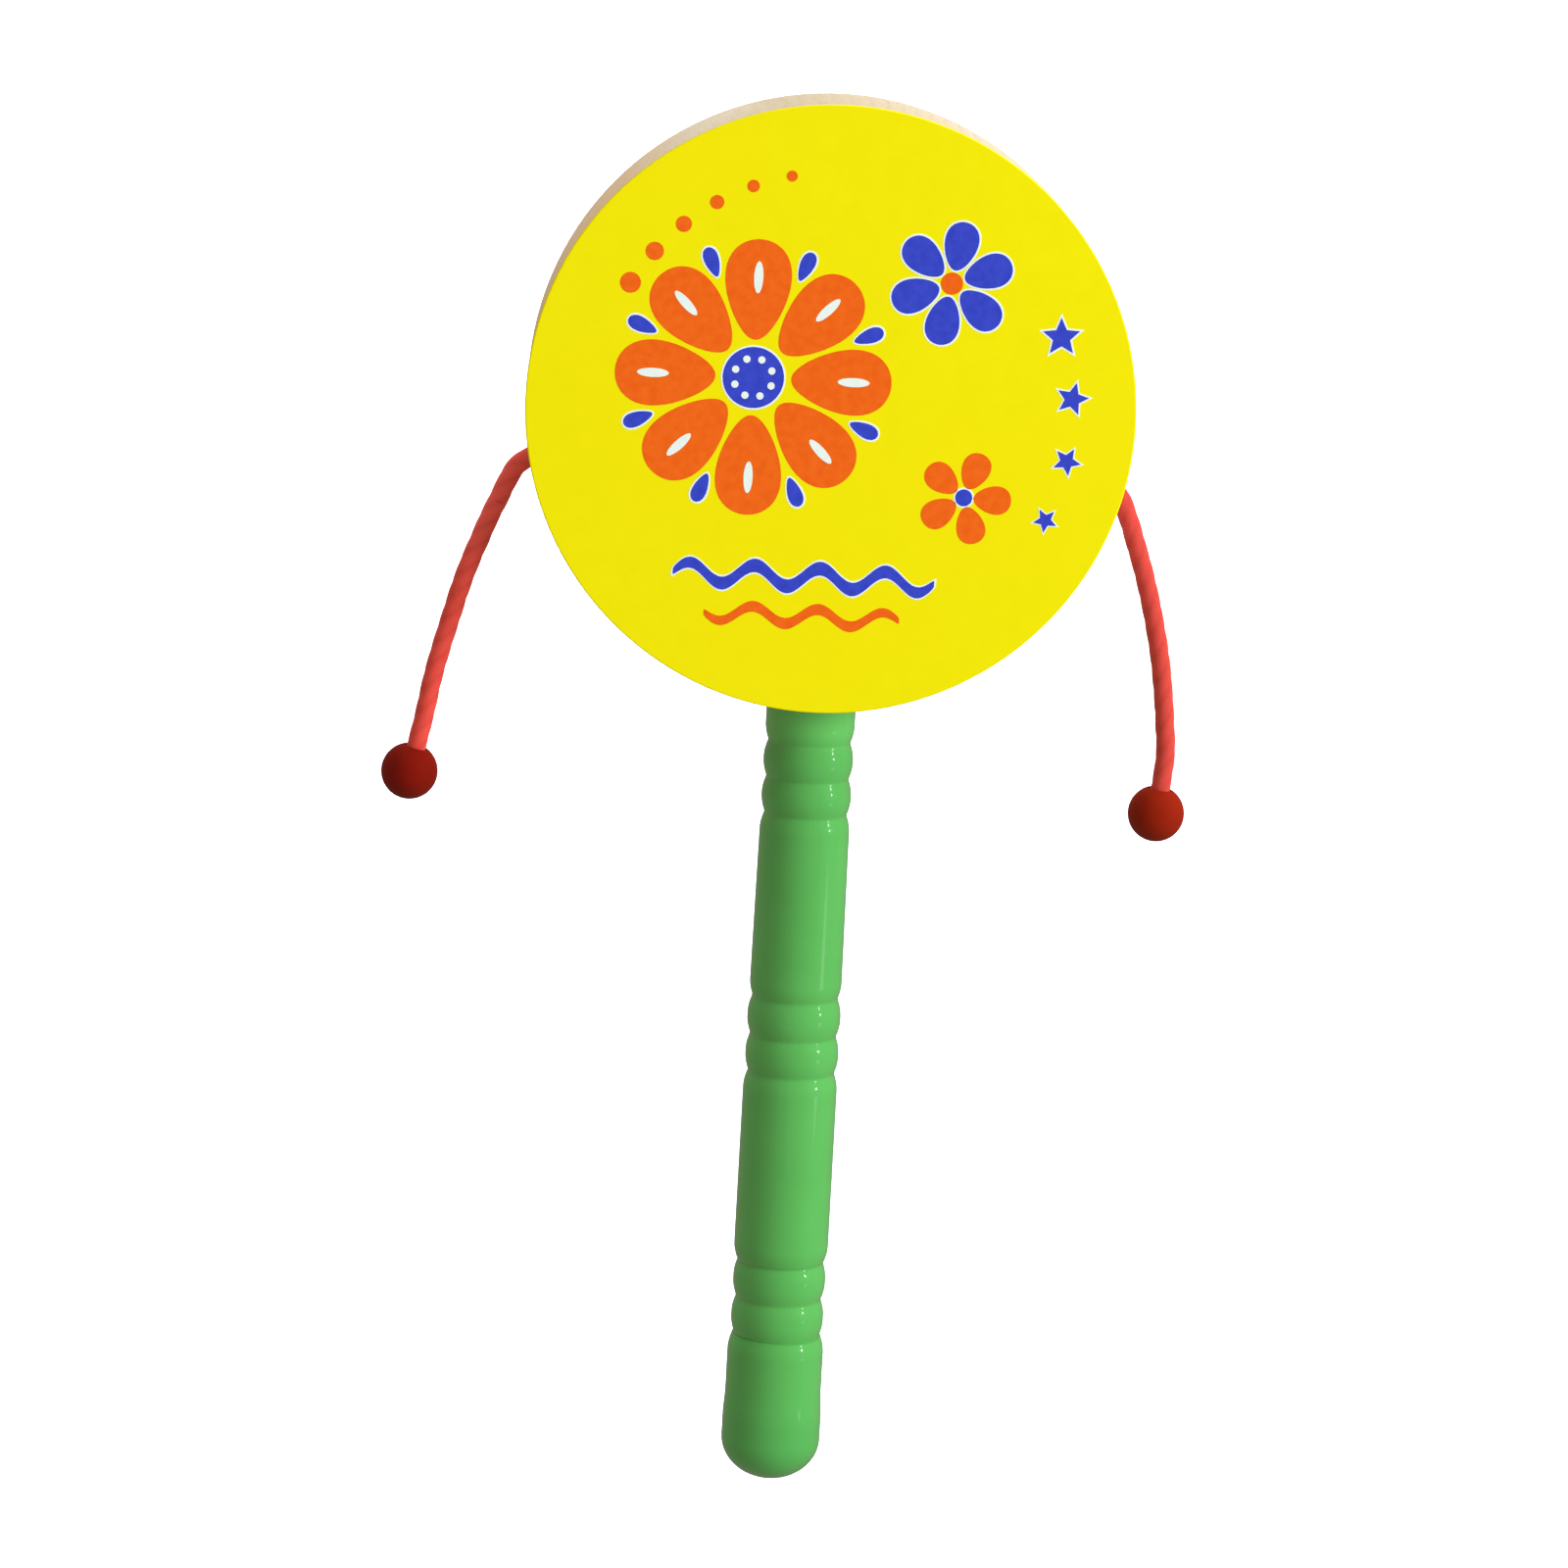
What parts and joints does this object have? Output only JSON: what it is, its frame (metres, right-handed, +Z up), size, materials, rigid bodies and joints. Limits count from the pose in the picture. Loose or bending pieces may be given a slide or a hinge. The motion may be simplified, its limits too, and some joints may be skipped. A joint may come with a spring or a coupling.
{
  "type": "pellet drum rattle",
  "caption": "Two-headed toy drum on a turned handle, with a ball on a cord at each side that swings round to strike either head.",
  "frame": {"origin": "on the handle's axis, at the middle of the straight, widest stretch near the handle's end", "axes": "+Z up along the handle, towards the drum; -Y towards the front head; +X to the viewer's right"},
  "size_m": [0.1349, 0.028, 0.2353],
  "materials": {
    "natural_wood": "pale sanded hardwood ring, thin clear varnish",
    "yellow_face": "thin wooden head, bright yellow satin paint",
    "green_lacquer": "turned wood, glossy green lacquer",
    "red_cord": "soft twisted red cord, matte",
    "dark_red_bead": "round wooden ball, dark red paint, matte"
  },
  "bodies": {
    "drum": {"drum_frame": "natural_wood", "front_head": "yellow_face", "back_head": "yellow_face", "handle": "green_lacquer", "left_knot": "red_cord", "right_knot": "red_cord"},
    "left_cord_body": {"left_cord": "red_cord"},
    "left_bead_body": {"left_bead": "dark_red_bead"},
    "right_cord_body": {"right_cord": "red_cord"},
    "right_bead_body": {"right_bead": "dark_red_bead"}
  },
  "joints": [
    {"name": "left_lift", "type": "hinge", "parent": "drum", "child": "left_cord_body", "pos_m": [-0.052, 0, 0.1628], "axis": [0, 1, 0], "range_deg": [0, 75], "deforming": ["left_cord"]},
    {"name": "left_swing", "type": "hinge", "parent": "left_cord_body", "child": "left_bead_body", "pos_m": [-0.055, 0, 0.1466], "axis": [0.5736, 0, -0.8192], "range_deg": [-140, 140], "deforming": ["left_cord"]},
    {"name": "right_lift", "type": "hinge", "parent": "drum", "child": "right_cord_body", "pos_m": [0.0516, 0, 0.1616], "axis": [0, -1, 0], "range_deg": [0, 75], "deforming": ["right_cord"]},
    {"name": "right_swing", "type": "hinge", "parent": "right_cord_body", "child": "right_bead_body", "pos_m": [0.054, 0, 0.1446], "axis": [-0.7071, 0, -0.7071], "range_deg": [-137, 137], "deforming": ["right_cord"]}
  ]
}
